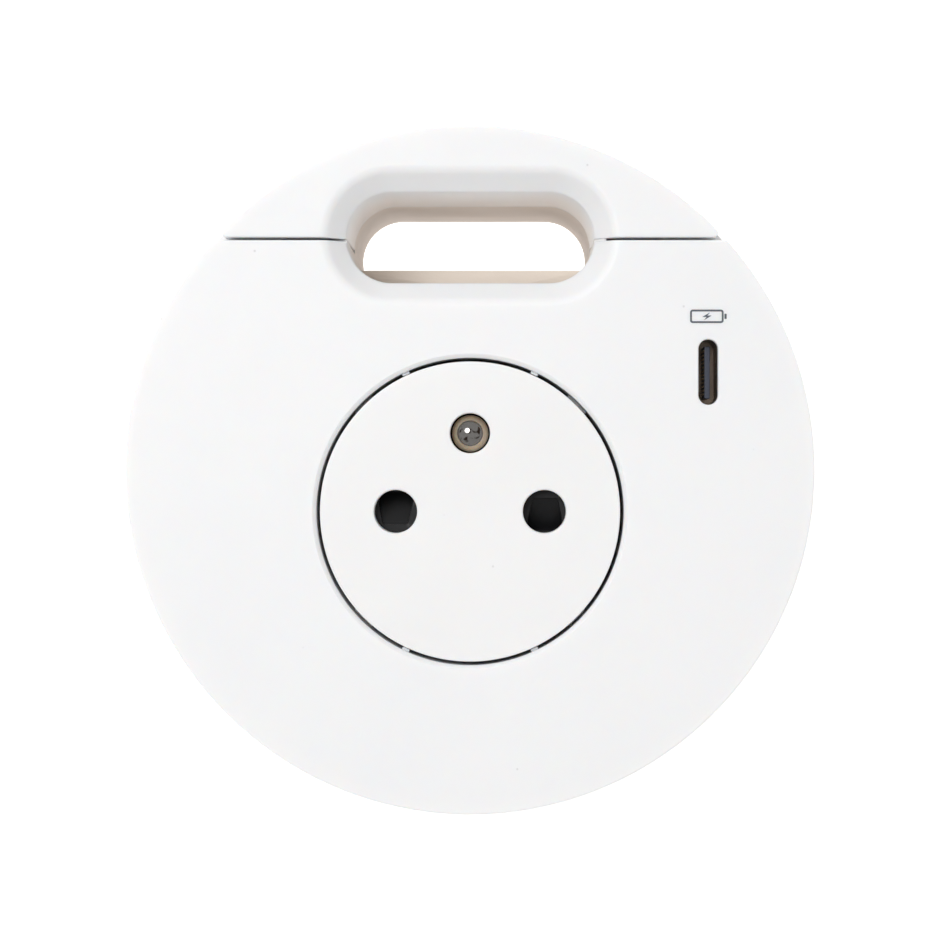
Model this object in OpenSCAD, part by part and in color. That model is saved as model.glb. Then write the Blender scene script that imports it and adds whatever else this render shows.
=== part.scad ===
// Round desk power module: a flush, push-in mains socket, a USB-C charging
// port and a cable slot with a lift-off cover, for a round hole in a desk.
// Origin: centre of the flange's underside, where it sits on the desk.
// +Z points up out of the face, +Y towards the cable slot.

/* [Face] */
// Diameter of the flange and of the two face plates
flange_d = 88; // [86:1:92]
// Thickness of the face plates, on top of the flange ring
plate_t = 3.5; // [3.3:0.1:3.8]
// Thickness of the flange ring under the plates
ring_t = 1.5; // [1.3:0.1:1.8]
// Radius on the outer top edge
rim_r = 0.8; // [0.4:0.1:1.2]
// Distance from the centre to the seam between plate and cover
seam_y = 29.52; // [29.4:0.02:29.7]
// Width of the seam
seam_gap = 0.35; // [0.2:0.05:0.6]

/* [Cable slot] */
// Distance from the centre to the slot's middle line
slot_y = 29.9; // [29.8:0.05:30]
// Half the distance between the centres of the slot's round ends
slot_c = 10.1; // [9:0.1:10.4]
// Radius of the slot's round ends
slot_r = 5.85; // [5.4:0.05:5.9]
// Depth of the flared edge
flare_h = 3.0; // [2.6:0.1:3.2]
// Radius that blends the flare into the face
flare_r = 1.6; // [1.2:0.1:2]
// Slope of the flare, from the face
flare_a = 50; // [44:1:54]
// Lower wall of the slot's deep part, from the centre
deep_y = 27.1; // [26.4:0.1:28]
// Depth of the cover's skirt below the desk surface
skirt_h = 18; // [16:0.5:18]

/* [Socket] */
// Distance from the centre down to the socket's middle
socket_y = -5.3; // [-5.6:0.1:-5]
// Diameter of the socket's well
well_d = 39.3; // [39.2:0.1:39.6]
// Diameter of the push-in face
face_d = 38.3; // [38:0.1:38.4]
// Distance between the two pin holes
pin_gap = 19; // [18.8:0.1:19.2]
// Diameter of the pin holes
pin_hole_d = 5.5; // [5:0.1:5.6]
// Distance from the pin holes' line to the earth pin
earth_gap = 10; // [9.8:0.1:10.2]
// Diameter of the earth pin
earth_d = 4.8; // [4.7:0.05:4.9]
// Travel of the push-in face
travel = 15; // [13:0.5:15]

/* [Charging port] */
// Port's place across the face
port_x = 30.4; // [30:0.1:30.6]
// Port's place up the face
port_y = 12.5; // [11:0.1:13]

/* [Body] */
// Diameter of the plain collar that centres the body in the desk's hole
collar_d = 79.2; // [79:0.1:79.4]
// Length of the collar
collar_h = 7; // [6:0.5:7.5]
// Diameter over the thread
thread_d = 78.6; // [78.4:0.1:78.7]
// Depth of the body below the desk surface
body_h = 41; // [41:0.5:42]
// Thread pitch of the ring nut
pitch = 3; // [2:0.5:4]
// Thickness of the desk that the nut is set for
desk_t = 18; // [16:1:20]

/* [Hidden] */
$fn = 96;

face_z = ring_t + plate_t;              // top of the face
rear_z = -body_h;                       // underside of the body
lid_z = rear_z + 2.2;                   // inside of the rear cover
rim = flange_d / 2;
seam_lo = seam_y - seam_gap / 2;
seam_hi = seam_y + seam_gap / 2;
well_r = well_d / 2;
tube_r = well_r + 1.6;
face_r = face_d / 2;
core_r = 38.4;                          // body below the thread
bay_r = 36.8;                           // inside of the body
base_z = -skirt_h;                      // top of the socket base
shut_z = 2.4;                           // underside of the push-in face
// flare: the blend's and the slope's widths
flare_b = flare_r * sin(flare_a);
flare_d = flare_r * (1 - cos(flare_a));
flare_s = (flare_h - flare_d) / tan(flare_a);
flare_w = flare_b + flare_s;
posts = [[-12, -32], [12, -32], [-33.5, 7], [33.5, -7]];
rear_bosses = [[-26.5, -22.5], [26.5, -22.5], [-27, 21.5], [27, 21.5]];
base_bosses = [for (a = [90, 250, 290]) [23.6 * cos(a), socket_y + 23.6 * sin(a)]];
rib_angles = [65, 115, 245, 295];
clip_angles = [45, 135, 225, 315];
spring_at = [[0, -12.5], [-11, 9.5], [11, 9.5]];

// ---- shared shapes ----
module tube(ro, ri, z0, z1) {
    translate([0, 0, z0]) difference() {
        cylinder(r = ro, h = z1 - z0);
        translate([0, 0, -1]) cylinder(r = ri, h = z1 - z0 + 2);
    }
}
module rod(r, z0, z1) translate([0, 0, z0]) cylinder(r = r, h = z1 - z0);
module at_socket() translate([0, socket_y, 0]) children();
// A rectangle with round ends, along X
module slot2d(c, r) {
    translate([-c, 0]) circle(r);
    translate([c, 0]) circle(r);
    square([2 * c, 2 * r], center = true);
}
module slot_cut(z0, z1, grow = 0)
    translate([0, slot_y, z0]) linear_extrude(z1 - z0) slot2d(slot_c, slot_r + grow);
// Half profile of the flared edge: the space that it takes away
module flare2d(x0) difference() {
    polygon([[x0, face_z - flare_h], [slot_r, face_z - flare_h],
        [slot_r + flare_s, face_z - flare_d], [slot_r + flare_w, face_z],
        [slot_r + flare_w, face_z + 1], [x0, face_z + 1]]);
    translate([slot_r + flare_w, face_z - flare_r]) circle(flare_r);
}
module flare() translate([0, slot_y, 0]) {
    for (s = [-1, 1]) translate([s * slot_c, 0, 0]) rotate_extrude() flare2d(0);
    for (m = [0, 1]) mirror([0, m, 0])
        rotate([90, 0, 90]) translate([0, 0, -slot_c]) linear_extrude(2 * slot_c) flare2d(-0.01);
}
// A disc of the face plates' height, with its outer top edge rounded
module face_disc() rotate_extrude() difference() {
    translate([0, ring_t]) square([rim, plate_t]);
    difference() {
        translate([rim - rim_r, face_z - rim_r]) square(rim_r + 1);
        translate([rim - rim_r, face_z - rim_r]) circle(rim_r);
    }
}
// The room for the electrics, beside the cable slot. w is the wall left round the slot
module bay2d(ro, w) difference() {
    circle(ro);
    translate([0, slot_y]) slot2d(slot_c, slot_r + w);
    translate([-50, 29.7 - w]) square([100, 30]);
}
// A screw that points up, with its head's underside at z
module screw(z, len, r = 1.2, head_r = 2.3, head_h = 1.8) {
    difference() {
        rod(head_r, z - head_h, z);
        translate([0, 0, z - head_h - 0.1]) for (a = [0, 90]) rotate(a)
            translate([-1.3, -0.28, 0]) cube([2.6, 0.56, 1.1]);
    }
    rod(r, z, z + len);
}

// ---- sweeps ----
function unit(v) = v / norm(v);
function spline(p, i, t) = let (n = len(p) - 1,
    a = p[max(i - 1, 0)], b = p[i], c = p[i + 1], d = p[min(i + 2, n)])
    0.5 * (2 * b + (c - a) * t + (2 * a - 5 * b + 4 * c - d) * t * t
        + (3 * b - a - 3 * c + d) * t * t * t);
function smooth(p, k) = [for (i = [0 : len(p) - 2]) for (j = [0 : k - 1]) spline(p, i, j / k), p[len(p) - 1]];
function frames(p, i = 0, u = [0, 0, 0], out = []) = i == len(p) ? out :
    let (t = unit(p[min(i + 1, len(p) - 1)] - p[max(i - 1, 0)]),
        s = i == 0 ? (abs(t[2]) > 0.8 ? [1, 0, 0] : [0, 0, 1]) : u,
        v = unit(s - (s * t) * t))
    frames(p, i + 1, v, concat(out, [[v, cross(t, v)]]));
module sweep(p, r, n = 8) {
    f = frames(p);
    m = len(p);
    polyhedron(
        points = [for (i = [0 : m - 1]) for (j = [0 : n - 1])
            p[i] + r * (cos(360 * j / n) * f[i][0] + sin(360 * j / n) * f[i][1])],
        faces = concat([[for (j = [n - 1 : -1 : 0]) j]],
            [for (i = [0 : m - 2]) for (j = [0 : n - 1]) let (k = (j + 1) % n)
                [i * n + j, i * n + k, (i + 1) * n + k, (i + 1) * n + j]],
            [[for (j = [0 : n - 1]) (m - 1) * n + j]]));
}
// A coil spring standing on z0
module coil(z0, z1, r, wire, turns, per = 12, n = 5) {
    sweep([for (i = [0 : turns * per]) [r * cos(360 * i / per), r * sin(360 * i / per),
        z0 + wire + (z1 - z0 - 2 * wire) * i / (turns * per)]], wire, n);
}

// ---- the face ----
module front_plate() color("white") {
    difference() {
        union() {
            intersection() {
                face_disc();
                translate([-60, -60, 0]) cube([120, 60 + seam_lo, 10]);
            }
            at_socket() rod(tube_r, base_z, ring_t);
            for (p = base_bosses) translate(p) rod(2.6, base_z, -8);
            for (p = posts) translate(p) rod(2.3, -4.5, ring_t);
        }
        at_socket() rod(well_r, base_z - 1, face_z + 1);
        // chamfered top edge of the well
        at_socket() rotate_extrude() polygon([[well_r - 0.1, face_z - 0.54],
            [well_r + 0.6, face_z + 0.09], [well_r - 0.1, face_z + 0.09]]);
        flare();
        slot_cut(-1, face_z);
        // the port's opening, with a wider pocket behind it
        translate([port_x, port_y, 3.5]) rotate(90) linear_extrude(5) slot2d(2.93, 1.25);
        translate([port_x, port_y, 0]) rotate(90) linear_extrude(3.5) slot2d(2.93, 1.7);
        at_socket() for (a = clip_angles) rotate(a)
            translate([18, -1.8, base_z - 1]) cube([5, 3.6, 1 - base_z - 0.4]);
        for (p = base_bosses) translate(p) rod(1.25, base_z - 1, -9.5);
        for (p = posts) translate(p) rod(1.25, -5, 1);
    }
    at_socket() for (a = rib_angles) rotate(a)
        translate([well_r - 0.38, -0.5, base_z + 1]) cube([0.6, 1, 3.0 - base_z]);
}
module cable_cover() color("white") difference() {
    union() {
        intersection() {
            face_disc();
            translate([-60, seam_hi, 0]) cube([120, 60, 10]);
        }
        intersection() {
            rod(38.3, base_z, ring_t);
            translate([-60, seam_hi, -50]) cube([120, 60, 100]);
        }
    }
    flare();
    slot_cut(base_z - 1, face_z);
}
module flange_gasket() color("dimgray") tube(43.2, 41.1, 0, 0.6);

// ---- the body ----
module body_shell() color("whitesmoke") {
    difference() {
        union() {
            rod(rim, 0, ring_t);
            rod(collar_d / 2, -collar_h, 0);
            rod(thread_d / 2, -36, -collar_h);
            rod(core_r, rear_z, -36);
        }
        translate([0, 0, rear_z - 1]) linear_extrude(body_h + ring_t + 2) bay2d(bay_r, 1.8);
        translate([0, 0, rear_z - 1]) linear_extrude(lid_z - rear_z + 1) bay2d(37.6, 0.9);
        // cable slot: full height as deep as the cover's skirt, then with a higher lower wall
        slot_cut(base_z, ring_t + 1);
        intersection() {
            slot_cut(rear_z - 1, base_z + 0.01);
            translate([-30, deep_y, rear_z - 2]) cube([60, 30, 60]);
        }
        // room for the cover's skirt, inside the collar and through the wall below it
        intersection() {
            rod(38.5, base_z, ring_t + 1);
            union() {
                translate([-60, seam_hi - 0.095, -50]) cube([120, 60, 100]);
                for (s = [-1, 1]) for (x = [18.65, 22.75])
                    translate([s * x - 0.8, seam_lo - 0.25, -50]) cube([1.6, 2, 100]);
            }
        }
        translate([-60, seam_lo, base_z]) cube([120, 60, -base_z - collar_h]);
        // gasket groove
        tube(43.3, 41, -1, 0.6);
        // keyway for the clamp washer
        translate([-2.6, -42, -36]) cube([5.2, 3.9, 36 - collar_h]);
    }
    // small tongue that fills the seam beside the slot
    translate([0, seam_hi - 0.03, 0]) rotate([90, 0, 0]) linear_extrude(seam_gap - 0.06)
        polygon([[16.02, 1], [17.5, 1], [17.5, 3.4], [16.02, 1.75]]);
    for (p = posts) intersection() {
        difference() {
            translate(p) rod(3.2, -7, -4.5);
            translate(p) rod(1.4, -8, -3);
        }
        rod(38, -10, 0);
    }
    for (p = rear_bosses) intersection() {
        difference() {
            translate(p) rod(3.2, lid_z, -26);
            translate(p) rod(1.25, lid_z - 1, -28);
        }
        rod(38, lid_z, 0);
    }
}
module rear_cover() color("whitesmoke") difference() {
    translate([0, 0, rear_z]) linear_extrude(lid_z - rear_z) bay2d(37.5, 1);
    translate([-34.4, -12.4, rear_z - 1]) cube([11.4, 24.8, 5]);
    for (p = rear_bosses) translate(p) {
        rod(1.4, rear_z - 1, lid_z + 1);
        rod(2.7, rear_z - 1, rear_z + 1.3);
    }
    // shallow panel for a rating plate
    translate([2, -14, rear_z - 1]) cube([20, 28, 1.3]);
}
module grip_pad() color("dimgray") tube(45.9, 39.85, -desk_t - 0.8, -desk_t);
module clamp_washer() color("silver") difference() {
    rod(46.3, -desk_t - 2, -desk_t - 0.8);
    difference() {
        rod(39.85, -desk_t - 3, -desk_t);
        translate([-2.3, -42, -desk_t - 4]) cube([4.6, 3.4, 6]);
    }
}
module ring_nut() color("gainsboro") difference() {
    union() {
        rod(46.3, -desk_t - 4.4, -desk_t - 2);
        rod(44.2, -desk_t - 11, -desk_t - 3);
        for (i = [0 : 11]) rotate(i * 30) translate([42.5, -3, -desk_t - 11]) cube([3.6, 6, 9]);
    }
    rod(39.6, -desk_t - 12, -desk_t);
}

// ---- the push-in face ----
module socket_face() color("white") at_socket() difference() {
    union() {
        rotate_extrude() difference() {
            translate([0, shut_z]) square([face_r, face_z - shut_z]);
            difference() {
                translate([face_r - 0.15, face_z - 0.15]) square(1);
                translate([face_r - 0.15, face_z - 0.15]) circle(0.15);
            }
        }
        tube(18.9, 17.5, -2.6, shut_z + 0.5);
        for (a = clip_angles) rotate(a) translate([18.3, -1.6, -2.5]) cube([2.2, 3.2, 2]);
        // pivot for the shutter, and two bosses for the retainer's screws
        rod(2.2, -0.6, shut_z + 0.5);
        for (y = [-15, 14.7]) translate([0, y, 0]) rod(2, -0.6, shut_z + 0.5);
    }
    for (x = [-1, 1]) translate([x * pin_gap / 2, 0, 0]) rod(pin_hole_d / 2, -5, face_z + 1);
    translate([0, earth_gap, 0]) rod(earth_d / 2 + 0.15, -5, face_z + 1);
    for (y = [-15, 14.7]) translate([0, y, 0]) rod(0.85, -3, 3.6);
}
// Two blades that close the pin holes. Each has a ramp that turns it aside
module shutter() color("#202326") at_socket() difference() {
    union() {
        rod(4.6, -0.5, 2.2);
        for (s = [0, 180]) rotate(s) intersection() {
            tube(13.2, 3.4, -0.5, 2.2);
            linear_extrude(10, center = true) polygon([[0, 0], [20 * cos(19.5), -20 * sin(19.5)], [20 * cos(19.5), 20 * sin(19.5)]]);
        }
    }
    rod(2.3, -1, 3);
    rod(3.2, 0.1, 3);   // seat for the return spring
    // ramps: high on the side that turns away from the hole
    for (s = [0, 180]) rotate(s) translate([5.4, 0, 0]) rotate([90, 0, 90]) linear_extrude(7)
        polygon([[1.1, 2.0], [1.1, 3], [-8, 3], [-8, 0.3], [-2.4, 0.3]]);
}
module shutter_spring() color("silver") at_socket()
    coil(0.15, 2.3, 2.75, 0.22, 3, 16, 6);
module shutter_retainer() color("#3a3d42") at_socket() difference() {
    rod(17.4, -2.6, -0.6);
    for (x = [-1, 1]) translate([x * pin_gap / 2, 0, 0]) rod(3, -3, 0);
    translate([0, earth_gap, 0]) rod(2.8, -3, 0);
    for (y = [-15, 14.7]) translate([0, y, 0]) { rod(0.95, -3, 0); rod(1.7, -3, -1.8); }
}
module shutter_screws() color("silver") at_socket()
    for (y = [-15, 14.7]) translate([0, y, 0]) screw(-1.8, 4.6, 0.8, 1.6, 0.8);
module face_springs() color("silver") at_socket()
    for (p = spring_at) translate(p) coil(base_z - 6, -2.6, 2.1, 0.28, 7);

// ---- the fixed contacts ----
module socket_base() color("#2c2f33") difference() {
    union() {
        at_socket() rod(tube_r, -21.5, base_z);
        at_socket() rod(17, -34, -21);
        for (p = base_bosses) translate(p) rod(3, -21.5, base_z);
    }
    for (p = base_bosses) translate(p) rod(1.4, -25, 0);
    at_socket() {
        for (x = [-1, 1]) translate([x * pin_gap / 2, 0, 0]) { rod(2.75, -30, 0); rod(3.5, -40, -20); }
        translate([0, earth_gap, 0]) { rod(earth_d / 2 + 0.02, -40, 0); rod(3.8, -40, -31); }
        for (p = spring_at) translate(p) rod(2.9, base_z - 6, 0);
    }
}
module earth_pin() color("silver") translate([0, socket_y + earth_gap, 0]) {
    rod(earth_d / 2, -34, 4.7 - earth_d / 2);
    translate([0, 0, 4.7 - earth_d / 2]) intersection() {
        sphere(d = earth_d);
        rod(5, 0, 5);
    }
    rod(3.6, -33.2, -31);
    rod(1.6, -35.4, -34);
}
module contact(s) at_socket() translate([s * pin_gap / 2, 0, 0]) {
    difference() {
        rod(3.1, -32.5, -20.3);
        rod(2.38, -31.5, -20);
        for (a = [45, 135]) rotate(a) translate([-4, -0.4, -30]) cube([8, 0.8, 12]);
    }
    rod(3.3, -33.4, -32.5);
    rod(1.8, -34, -33.4);
    translate([s > 0 ? -2.2 : -5.5, -2.2, -34.9]) cube([7.7, 4.4, 0.9]);
}
module live_contact() color("goldenrod") contact(-1);
module neutral_contact() color("goldenrod") contact(1);
module earth_plate() color("goldenrod") difference() {
    translate([-12, socket_y + earth_gap - 4, -34.9]) cube([16, 8, 0.9]);
    translate([0, socket_y + earth_gap, 0]) rod(1.65, -36, -33);
}

// ---- the charger ----
module usb_shell() color("silver") translate([port_x, port_y, 0]) rotate(90) difference() {
    translate([0, 0, -3.8]) linear_extrude(7.2) slot2d(2.89, 1.58);
    translate([0, 0, -3.3]) linear_extrude(8) slot2d(2.89, 1.28);
}
module usb_tongue() color("#30343d") translate([port_x - 0.35, port_y - 3.35, -3.3]) cube([0.7, 6.7, 6.1]);
module usb_board() color("darkgreen") translate([port_x - 3.18, 4.5, -16]) cube([1.6, 16, 17.2]);
module charger_board() color("darkgreen") translate([22.7, -14.5, -37]) cube([1.6, 29, 31]);
module transformer() color("gold") {
    translate([24.3, -12.5, -33]) cube([8, 2.6, 12]);
    translate([24.3, -3.1, -33]) cube([8, 2.6, 12]);
    translate([24.3, -9.9, -33]) cube([8, 6.8, 2.6]);
    translate([24.3, -9.9, -23.6]) cube([8, 6.8, 2.6]);
    translate([28.3, -6.5, 0]) rod(3.3, -30.4, -23.6);
}
module capacitors() color("#25303f") {
    for (c = [[5, -31, 4.3, 8], [13, -32, 2.9, 7], [5, -21.5, 3.6, 8]])
        translate([24.3, c[0], c[1]]) rotate([0, 90, 0]) cylinder(r = c[2], h = c[3]);
}
module charger_chips() color("#1b1c1f") {
    translate([24.3, -12, -17]) cube([2.4, 7, 6]);
    translate([24.3, -1, -14]) cube([1.6, 5, 6]);
    translate([24.3, 8, -14]) cube([1.6, 4, 5]);
    translate([24.3, 10.5, -26]) cube([1.6, 3, 4]);
}

// ---- the mains inlet ----
module inlet_housing() color("#1d1f22") difference() {
    translate([-34.3, -12.3, rear_z]) cube([11.2, 24.6, 18.5]);
    translate([-32.9, -10.9, rear_z - 1]) cube([8.4, 21.8, 15.5]);
    for (y = [-7, 0, 7]) translate([-28.7, y, 0]) rod(1.1, -30, -20);
}
module inlet_pins() color("silver") for (y = [-7, 0, 7]) translate([-28.7, y, 0]) rod(1.1, rear_z + 5, -20);

// ---- wiring ----
module live_wire() color("saddlebrown") sweep(smooth([[-28.7, 7, -19.75], [-28.7, 7.4, -16.5],
    [-26, 12, -14.5], [-22.5, 15, -17], [-21, 15.5, -26], [-19.5, 10, -33.5],
    [-18, 0, -35.6], [-16.4, -4.9, -35.1], [-15.1, -5.3, -35]], 3), 0.85);
module neutral_wire() color("steelblue") sweep(smooth([[-28.7, 0, -19.75], [-28.6, 0.8, -15.5],
    [-25, 10, -11.5], [-20.5, 16.5, -13.5], [-16.5, 18.5, -24], [-12, 17, -34],
    [2, 14, -36.6], [14, 6, -36.6], [17.4, -2.5, -35.6], [16.4, -4.9, -35.1], [15.1, -5.3, -35]], 3), 0.85);
module earth_wire() color("yellowgreen") sweep(smooth([[-28.7, -7, -19.75], [-28.6, -6.6, -15.5],
    [-25.5, 4, -8], [-23.2, 14, -8], [-24, 19, -17], [-20, 18.4, -29],
    [-17, 10, -34.6], [-14, 5, -35.1], [-12.15, 4.7, -35]], 3), 0.85);
module charger_wires() for (s = [0, 1]) color(s ? "black" : "red")
    sweep(smooth([[24.9, 1 + 2 * s, -7.8], [25.5, 1.5 + 2 * s, -5 - s], [25.9, 4.5 + s, -3 - 1.6 * s],
        [26.1, 8 - s, -3.4 - 1.6 * s], [26.5, 10 - 1.8 * s, -6]], 4), 0.5);

// ---- fasteners ----
module front_plate_screws() color("silver") for (p = posts) translate(p) screw(-7, 7.5);
module base_screws() color("silver") for (p = base_bosses) translate(p) screw(-21.5, 11);
module rear_cover_screws() color("silver") for (p = rear_bosses) translate(p) screw(rear_z + 1.3, 10, 1.2, 2.6, 1.2);

front_plate();
cable_cover();
body_shell();
rear_cover();
flange_gasket();
grip_pad();
clamp_washer();
ring_nut();
socket_face();
shutter();
shutter_spring();
shutter_retainer();
shutter_screws();
face_springs();
socket_base();
earth_pin();
live_contact();
neutral_contact();
earth_plate();
usb_shell();
usb_tongue();
usb_board();
charger_board();
transformer();
capacitors();
charger_chips();
inlet_housing();
inlet_pins();
live_wire();
neutral_wire();
earth_wire();
charger_wires();
front_plate_screws();
base_screws();
rear_cover_screws();
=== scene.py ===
"""Round desk power module: push-in mains socket, USB-C port and cable slot."""
import math

import bmesh
import bpy
import numpy as np
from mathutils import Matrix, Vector
from mathutils.geometry import delaunay_2d_cdt


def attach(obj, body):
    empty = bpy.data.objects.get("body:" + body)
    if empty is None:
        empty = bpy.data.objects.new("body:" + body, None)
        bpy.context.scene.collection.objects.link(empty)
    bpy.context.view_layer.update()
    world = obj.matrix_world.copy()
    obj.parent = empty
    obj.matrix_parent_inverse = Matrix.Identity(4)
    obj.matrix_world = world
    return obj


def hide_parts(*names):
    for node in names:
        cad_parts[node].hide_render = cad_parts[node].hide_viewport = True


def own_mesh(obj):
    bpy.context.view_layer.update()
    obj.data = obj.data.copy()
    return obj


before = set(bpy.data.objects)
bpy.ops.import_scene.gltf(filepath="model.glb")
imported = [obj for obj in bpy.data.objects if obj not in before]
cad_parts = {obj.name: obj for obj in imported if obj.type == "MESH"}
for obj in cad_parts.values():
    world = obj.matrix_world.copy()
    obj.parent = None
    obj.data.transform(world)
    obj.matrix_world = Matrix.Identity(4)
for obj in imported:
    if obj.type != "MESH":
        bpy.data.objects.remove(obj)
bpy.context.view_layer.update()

MM = 0.001
FACE = 5.0      # top of the face
SEAT = 1.5      # underside of the face plates
R = 44.0        # flange
SLOT_Y, SLOT_C, SLOT_R = 29.9, 10.1, 5.85
SEAM_LO, SEAM_HI = 29.345, 29.695
LIP = 29.6      # edge of the body under the seam
SOCKET = (0.0, -5.3)
WELL, TUBE = 19.65, 21.25
PORT = (30.4, 12.5)
BASE = -18.0
REAR = -41.0
LID = -38.8
FLARE_H, FLARE_R, FLARE_A = 3.0, 1.6, math.radians(50)
FLARE_W = FLARE_R * math.sin(FLARE_A) + (FLARE_H - FLARE_R * (1 - math.cos(FLARE_A))) / math.tan(FLARE_A)
FLARE_S = FLARE_W - FLARE_R * math.sin(FLARE_A)


# ------------------------------------------------------------------ mesh tools
class Shape:
    """Points in millimetres and faces between them, welded at the end."""

    def __init__(self):
        self.v, self.f, self.mat = [], [], []
        self.slot = 0

    def add(self, pts):
        i = len(self.v)
        self.v.extend((float(p[0]), float(p[1]), float(p[2])) for p in pts)
        return list(range(i, i + len(pts)))

    def face(self, ids):
        self.f.append(list(ids))
        self.mat.append(self.slot)

    def band(self, a, b, closed=True):
        n = len(a)
        for i in range(n if closed else n - 1):
            j = (i + 1) % n
            self.face((a[i], a[j], b[j], b[i]))

    def rows(self, rows, closed=True):
        for a, b in zip(rows, rows[1:]):
            self.band(a, b, closed)

    def at(self, row, z):
        """A copy of a row at another height."""
        return self.add([(self.v[i][0], self.v[i][1], z) for i in row])

    def drop(self, row, z, steps=1):
        """A straight wall from a row down or up to z. Gives the row at its end."""
        last = row
        for k in range(1, steps + 1):
            new = self.add([(self.v[i][0], self.v[i][1], self.v[i][2] + (z - self.v[i][2]) * k / steps) for i in row])
            self.band(last, new)
            last = new
        return last

    def edge(self, loop, rad, top, down=0, seg=5, up=1):
        """A rounded edge along a loop with its material on the left. Gives the wall's row and the face's row."""
        p = np.array(loop, float)
        t = np.roll(p, -1, 0) - np.roll(p, 1, 0)
        t /= np.maximum(np.linalg.norm(t, axis=1), 1e-9)[:, None]
        n = np.stack([-t[:, 1], t[:, 0]], 1)
        rad = np.broadcast_to(np.asarray(rad, float), (len(p),))
        out = []
        for j in range(seg + 1):
            a = j / seg * math.pi / 2
            q = p + n * (rad * (1 - math.cos(a)))[:, None]
            fall = down(q) if down else 0
            z = top - up * (rad * (1 - math.sin(a)) + fall)
            out.append(self.add(np.column_stack([q, z])))
        self.rows(out)
        return out[0], out[-1]

    def cap(self, rows, z=None, lines=()):
        """Fills the region between rows, each a list of point numbers, with lines of further points in it."""
        co, idx, edges = [], [], []
        for row in rows:
            k, n = len(co), len(row)
            co += [Vector(self.v[i][:2]) for i in row]
            idx += row
            edges += [(k + i, k + (i + 1) % n) for i in range(n)]
        for line in lines:
            k = len(co)
            idx += self.add([(x, y, z(x, y)) for x, y in line])
            co += [Vector(q) for q in line]
            edges += [(k + i, k + i + 1) for i in range(len(line) - 1)]
        vo, _, fo, ov, _, _ = delaunay_2d_cdt(co, edges, [], 0, 1e-7)
        m = []
        for q, o in zip(vo, ov):
            m.append(idx[o[0]] if o else self.add([(q.x, q.y, z(q.x, q.y) if z else self.v[rows[0][0]][2])])[0])
        tri = np.array([list(t) for t in fo])
        at = np.array([(q.x, q.y) for q in vo])
        c = at[tri].mean(1)
        odd = np.zeros(len(c), bool)
        for row in rows:
            p = np.array([self.v[i][:2] for i in row])
            q = np.roll(p, -1, 0)
            for (ax, ay), (bx, by) in zip(p, q):
                if ay != by:
                    odd ^= ((ay > c[:, 1]) != (by > c[:, 1])) & (c[:, 0] < (bx - ax) * (c[:, 1] - ay) / (by - ay) + ax)
        for t in tri[odd]:
            self.face([m[i] for i in t])

    def shift(self, x=0, y=0, z=0, turn=0, start=0):
        c, s = math.cos(turn), math.sin(turn)
        for i in range(start, len(self.v)):
            a, b, d = self.v[i]
            self.v[i] = (a * c - b * s + x, a * s + b * c + y, d + z)

    def make(self, name, sharp=38, mats=()):
        me = bpy.data.meshes.new(name)
        me.from_pydata([(a * MM, b * MM, c * MM) for a, b, c in self.v], [], self.f)
        for poly, k in zip(me.polygons, self.mat):
            poly.material_index = k
        for m in mats:
            me.materials.append(m)
        bm = bmesh.new()
        bm.from_mesh(me)
        bmesh.ops.remove_doubles(bm, verts=bm.verts, dist=2e-6)
        bmesh.ops.dissolve_degenerate(bm, edges=bm.edges, dist=1e-7)
        loose = [v for v in bm.verts if not v.link_faces]
        bmesh.ops.delete(bm, geom=loose, context="VERTS")
        bmesh.ops.recalc_face_normals(bm, faces=bm.faces)
        open_edges = sum(1 for e in bm.edges if len(e.link_faces) != 2)
        if open_edges:
            print("OPEN", name, open_edges)
        bm.to_mesh(me)
        bm.free()
        me.shade_smooth()
        me.set_sharp_from_angle(angle=math.radians(sharp))
        o = bpy.data.objects.new(name, me)
        bpy.context.scene.collection.objects.link(o)
        w = o.modifiers.new("normals", "WEIGHTED_NORMAL")
        w.keep_sharp = True
        w.weight = 80
        return o


def line(p, q, step):
    p, q = np.array(p, float), np.array(q, float)
    n = max(1, int(math.ceil(np.linalg.norm(q - p) / step)))
    return [tuple(p + (q - p) * i / n) for i in range(n)]


def arc(c, r, a0, a1, step=3.0):
    n = max(1, int(math.ceil(abs(a1 - a0) / step)))
    return [(c[0] + r * math.cos(math.radians(a0 + (a1 - a0) * i / n)),
             c[1] + r * math.sin(math.radians(a0 + (a1 - a0) * i / n))) for i in range(n)]


def circle(c, r, n=160, hole=False, start=0.0):
    s = -1 if hole else 1
    return arc(c, r, start, start + s * 360.0, 360.0 / n)


def stadium(c, half, r, step=5.0, hole=False, upright=False):
    """A rectangle with round ends; its material is inside, or outside when hole."""
    p = arc((half, 0), r, -90, 90, step) + line((half, r), (-half, r), 1.0)
    p += arc((-half, 0), r, 90, 270, step) + line((-half, -r), (half, -r), 1.0)
    if hole:
        p = p[::-1]
    if upright:
        p = [(-y, x) for x, y in p]
    return [(x + c[0], y + c[1]) for x, y in p]


def slot_distance(q):
    q = np.asarray(q, float)
    dx = np.maximum(np.abs(q[..., 0]) - SLOT_C, 0)
    return np.hypot(dx, q[..., 1] - SLOT_Y) - SLOT_R


def flare(q):
    """How far the flared edge lies below the face at a place."""
    d = np.clip(slot_distance(q), 0, FLARE_W)
    blend = FLARE_R - np.sqrt(np.maximum(FLARE_R ** 2 - (FLARE_W - d) ** 2, 0))
    slope = FLARE_H - d * math.tan(FLARE_A)
    return np.where(d < FLARE_S, slope, blend)


def face_z(x, y):
    return FACE - float(flare((x, y)))


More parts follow.
